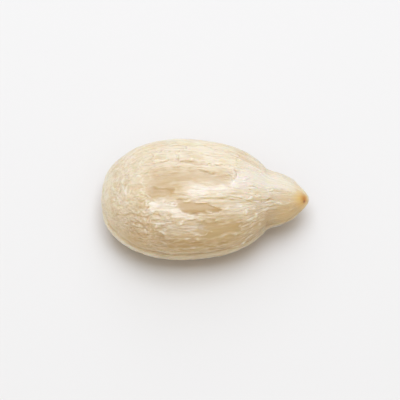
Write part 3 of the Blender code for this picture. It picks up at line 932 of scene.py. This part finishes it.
# Where the painted light of the back and the painted shade of the front come in.
PAINTED_LIGHT_SPAN = (-0.05, 0.55)
PAINTED_SHADE_SPAN = (-0.15, -0.75)
SILVER_STREAKS = (4.5, 0.9)
LIP_STREAKS = (4.0, 0.7)
DARK_FIBRES = (0.46, 0.26)
PALE_FIBRES = (0.52, 0.72)
BARE_RANGE = (0.42, 0.42 + 1 / 6)
BARE_LEAST = 0.25
TEXTURE_LOSS = {"smooth": 0.9, "clear": 0.9, "silver_and_highlight": 0.45}
TEXTURE_GAIN, WORN_TEXTURE_GAIN = 0.85, 0.55
FIBRE_LOSS_IN_CREPE = 0.5
CRAZE_SHARPNESS = 14
GLINT_SHARPNESS = 12
LINE_SHARPNESS = 5
CREASE_SHADE_GAIN = 36.0
CREST_HIGHLIGHT_GAIN = 18.0
GAP_SHADE_GAIN = 1.4
SKIN_ROUGHNESS = 0.325
SILVER_SMOOTHING = 0.08
GRAIN_ROUGHENING = 0.3
GLOSS, SILVER_GLOSS = 0.26, 0.74
COAT_ROUGHNESS = 0.165
REFRACTION = 1.45
METRES_PER_MOTTLE = 0.0012
FINE_BUMP_METRES = 0.000042
BUMP_GRAIN, BUMP_LINES = 0.5, 0.6
SUBSURFACE_SHARE = 0.85
SUBSURFACE_RADII = (1.0, 0.7, 0.4)
SUBSURFACE_METRES = 0.002

# The length and width, in millimetres, of one wave of each noise that runs with the flow.

STREAKS = (1.5, 0.24)
CRAZE_SHADE_WAVES = (1.1, 0.5)
GLINT_FLECKS = (0.9, 0.35)
FINE_GRAIN = (0.5, 0.05)
FINE_LINES = (0.9, 0.1)
BARE_PATCHES = (1.4, 0.8)


def mask(name, output="Fac"):
    return add_node(skin, "ShaderNodeAttribute", {"attribute_name": name}, {}, output=output)


def paint(share, over, colour):
    """Lay a colour over another by a share."""
    settings = {"data_type": "RGBA", "clamp_factor": True}
    return add_node(skin, "ShaderNodeMix", settings, {0: share, 6: over, 7: colour}, output=2)


def along_flow(size_of_wave, seed, detail, distortion=0.0, roughness=0.5):
    return noise(skin, stretched(skin, flow_place, *size_of_wave), seed, detail, distortion, roughness)


def streaky(gain, middle):
    """A share that comes and goes with the streaks."""
    return clamp(streaks * gain + middle)


skin_material.use_nodes = True
skin = skin_material.node_tree
shader = skin.nodes["Principled BSDF"]
crease = mask("crease")
silver_and_highlight_mask = mask("silver_and_highlight")
clear_mask = mask("clear")
crepe_mask = mask("crepe")
thread = mask("thread")
flow_place = mask("flow", "Vector")
place = add_node(skin, "ShaderNodeTexCoord", {}, {}, output="Object")
mottle = noise(skin, scaled(skin, place, 1 / METRES_PER_MOTTLE), 2.0, 3.0) - 0.5
streaks = along_flow(STREAKS, 4.0, 3.0, 0.5, 0.6) - 0.5
# Painted light and shade: the cover turns paler towards the back and beiger towards the shaded front.
light_and_shade_side = mask("light_and_shade_side") + mottle * SIDE_MOTTLE
cover = paint(climb(light_and_shade_side, *PAINTED_LIGHT_SPAN), CREAM, PAINTED_LIGHT_CREAM)
cover = paint(climb(light_and_shade_side, *PAINTED_SHADE_SPAN), cover, PAINTED_SHADE_BEIGE)
opaque = streaks * COVER_STREAKS + mottle * COVER_MOTTLE + COVER_MIDDLE + silver_and_highlight_mask * COVER_SILVER
colour = paint(clamp(opaque) * (1 - clear_mask * SHARES["clear"]), BEIGE, cover)
colour = paint(mask("hollow") * SHARES["hollow"], colour, TAN)
# Silvery skin, painted paler still as highlight on the crown and nose.
colour = paint(silver_and_highlight_mask * streaky(*SILVER_STREAKS) * SHARES["silver_and_highlight"], colour, SILVER_AND_HIGHLIGHT_PALE)
colour = paint(mask("belly") * SHARES["belly"], colour, BELLY_TAN)
# The lip's own pale, with painted light over the shaded blunt end.
colour = paint(mask("lip") * streaky(*LIP_STREAKS) * SHARES["lip"], colour, PALE_SKIN_AND_HIGHLIGHT)
# Painted shade in the creases and painted highlight on the crests.
colour = paint(clamp(crease * CREASE_SHADE_GAIN), colour, SHADE_AND_FIBRE_BROWN)
colour = paint(clamp(crease * -CREST_HIGHLIGHT_GAIN), colour, PALE_SKIN_AND_HIGHLIGHT)
# Painted shade between the fine lines and painted highlight along their crests.
colour = paint(clamp(thread * -GAP_SHADE_GAIN) * SHARES["gap_shade"], colour, SHADE_AND_FIBRE_BROWN)
colour = paint(clamp(thread) * SHARES["thread"], colour, PALE_SKIN_AND_HIGHLIGHT)
# Painted shade: brown lines over the crepe for the shade of its crazing.
craze_shade = crests(along_flow(CRAZE_SHADE_WAVES, 9.0, 2.0, 1.0)) ** CRAZE_SHARPNESS
colour = paint(craze_shade * crepe_mask * SHARES["craze_shade"], colour, SHADE_AND_FIBRE_BROWN)
# Painted highlight: pale flecks over the crepe for glints on its crests.
glint_fleck = crests(along_flow(GLINT_FLECKS, 12.0, 2.0, 1.5)) ** GLINT_SHARPNESS
colour = paint(glint_fleck * crepe_mask * SHARES["glint_fleck"], colour, PALE_SKIN_AND_HIGHLIGHT)
fine_grain = along_flow(FINE_GRAIN, 5.0, 3.0)
fine_lines = crests(along_flow(FINE_LINES, 6.0, 2.0, 0.3)) ** LINE_SHARPNESS
bare_patches = climb(along_flow(BARE_PATCHES, 8.0, 1.0), *BARE_RANGE)
texture = bare_patches * (1 - BARE_LEAST) + BARE_LEAST
texture = texture * (1 - mask("smooth") * TEXTURE_LOSS["smooth"])
texture = texture * (1 - clear_mask * TEXTURE_LOSS["clear"])
texture = texture * (1 - silver_and_highlight_mask * TEXTURE_LOSS["silver_and_highlight"])
texture = texture * (TEXTURE_GAIN + mask("worn") * WORN_TEXTURE_GAIN)
fibres = texture * (1 - crepe_mask * FIBRE_LOSS_IN_CREPE) * SHARES["fibre"]
colour = paint(climb(fine_grain, *DARK_FIBRES) * fibres, colour, SHADE_AND_FIBRE_BROWN)
colour = paint(climb(fine_grain, *PALE_FIBRES) * fibres, colour, PALE_SKIN_AND_HIGHLIGHT)
# The tip's own yellow, and painted light on the shaded underside of the nose.
colour = paint(mask("tip_yellow_and_nose_light") * SHARES["tip_yellow_and_nose_light"], colour, TIP_AND_NOSE_LIGHT_YELLOW)
colour = paint(mask("stain"), colour, STAIN_ORANGE)
colour = paint(mask("point"), colour, POINT_BROWN)
roughness = SKIN_ROUGHNESS - silver_and_highlight_mask * SILVER_SMOOTHING + (fine_grain - 0.5) * GRAIN_ROUGHENING
gloss = clamp(silver_and_highlight_mask * SILVER_GLOSS + GLOSS)
fine_height = (fine_grain * BUMP_GRAIN + fine_lines * BUMP_LINES) * texture
bump_sockets = {"Strength": 1.0, "Distance": FINE_BUMP_METRES, "Height": fine_height}
fine_bump = add_node(skin, "ShaderNodeBump", {}, bump_sockets)
linked = {"Base Color": colour, "Roughness": roughness, "Coat Weight": gloss, "Normal": fine_bump}
for name, wire in linked.items():
    skin.links.new(wire.socket, shader.inputs[name])
shader.inputs["Coat Roughness"].default_value = COAT_ROUGHNESS
shader.inputs["Subsurface Weight"].default_value = SUBSURFACE_SHARE
shader.inputs["Subsurface Radius"].default_value = SUBSURFACE_RADII
shader.inputs["Subsurface Scale"].default_value = SUBSURFACE_METRES
shader.inputs["IOR"].default_value = REFRACTION

kernel = bpy.data.objects.new("kernel_skin", kernel_mesh)
bpy.context.scene.collection.objects.link(kernel)
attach(kernel, "root")
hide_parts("kernel")

# The kernel lies on matt, near-white board. Two large soft lights stand straight behind it, one high and
# one low, and a pale warm room fills the shadows. The camera is a long lens, 70 degrees up.

BOARD_HALF_SIZE = 0.6
BOARD_WHITE = (0.803, 0.797, 0.784, 1)
BOARD_ROUGHNESS = 0.9
BOARD_SHINE = 0.1
ROOM_WARM_WHITE = (1.0, 0.925, 0.81, 1)
ROOM_STRENGTH = 0.538
SOFTBOX_COLOUR = (0.88, 0.945, 1.07)
SOFTBOX_SIZE = 0.16
SOFTBOX_DISTANCE = 0.21
SOFTBOXES = {"softbox_high": (76.0, 0.313), "softbox_low": (38.0, 0.075)}
CAMERA_ELEVATION = 70.0
CAMERA_DISTANCE = 0.14
CAMERA_CLIP = (0.005, 5.0)
CAMERA_AIM = (-0.000256, -0.00003, 0.0014)
FRAME_WIDTH = 0.01932
SENSOR_WIDTH = 36.0

board_mesh = bpy.data.meshes.new("board")
board_shape = bmesh.new()
bmesh.ops.create_grid(board_shape, x_segments=1, y_segments=1, size=BOARD_HALF_SIZE)
board_shape.to_mesh(board_mesh)
board_shape.free()
board = bpy.data.objects.new("board", board_mesh)
bpy.context.scene.collection.objects.link(board)
board_material = bpy.data.materials.new("matt_board")
board_material.use_nodes = True
board_shader = board_material.node_tree.nodes["Principled BSDF"]
board_shader.inputs["Base Color"].default_value = BOARD_WHITE
board_shader.inputs["Roughness"].default_value = BOARD_ROUGHNESS
board_shader.inputs["Specular IOR Level"].default_value = BOARD_SHINE
board_mesh.materials.append(board_material)

room = bpy.data.worlds.new("room")
room.use_nodes = True
room.node_tree.nodes["Background"].inputs["Color"].default_value = ROOM_WARM_WHITE
room.node_tree.nodes["Background"].inputs["Strength"].default_value = ROOM_STRENGTH
bpy.context.scene.world = room

for name, (elevation, power) in SOFTBOXES.items():
    softbox_light = bpy.data.lights.new(name, "AREA")
    softbox_light.size = SOFTBOX_SIZE
    softbox_light.energy = power
    softbox_light.color = SOFTBOX_COLOUR
    softbox = bpy.data.objects.new(name, softbox_light)
    towards = Vector((0, math.cos(math.radians(elevation)), math.sin(math.radians(elevation))))
    softbox.location = towards * SOFTBOX_DISTANCE
    softbox.rotation_mode = "QUATERNION"
    softbox.rotation_quaternion = towards.to_track_quat("Z", "Y")
    bpy.context.scene.collection.objects.link(softbox)

tilt = math.radians(CAMERA_ELEVATION)
back = Vector((0, -math.cos(tilt), math.sin(tilt)))
lens = bpy.data.cameras.new("camera")
lens.sensor_width = SENSOR_WIDTH
lens.lens = SENSOR_WIDTH * CAMERA_DISTANCE / FRAME_WIDTH
lens.clip_start, lens.clip_end = CAMERA_CLIP
camera = bpy.data.objects.new("camera", lens)
camera.location = Vector(CAMERA_AIM) + back * CAMERA_DISTANCE
camera.rotation_mode = "QUATERNION"
camera.rotation_quaternion = back.to_track_quat("Z", "Y")
bpy.context.scene.collection.objects.link(camera)
bpy.context.scene.camera = camera
bpy.context.scene.view_settings.view_transform = "Standard"
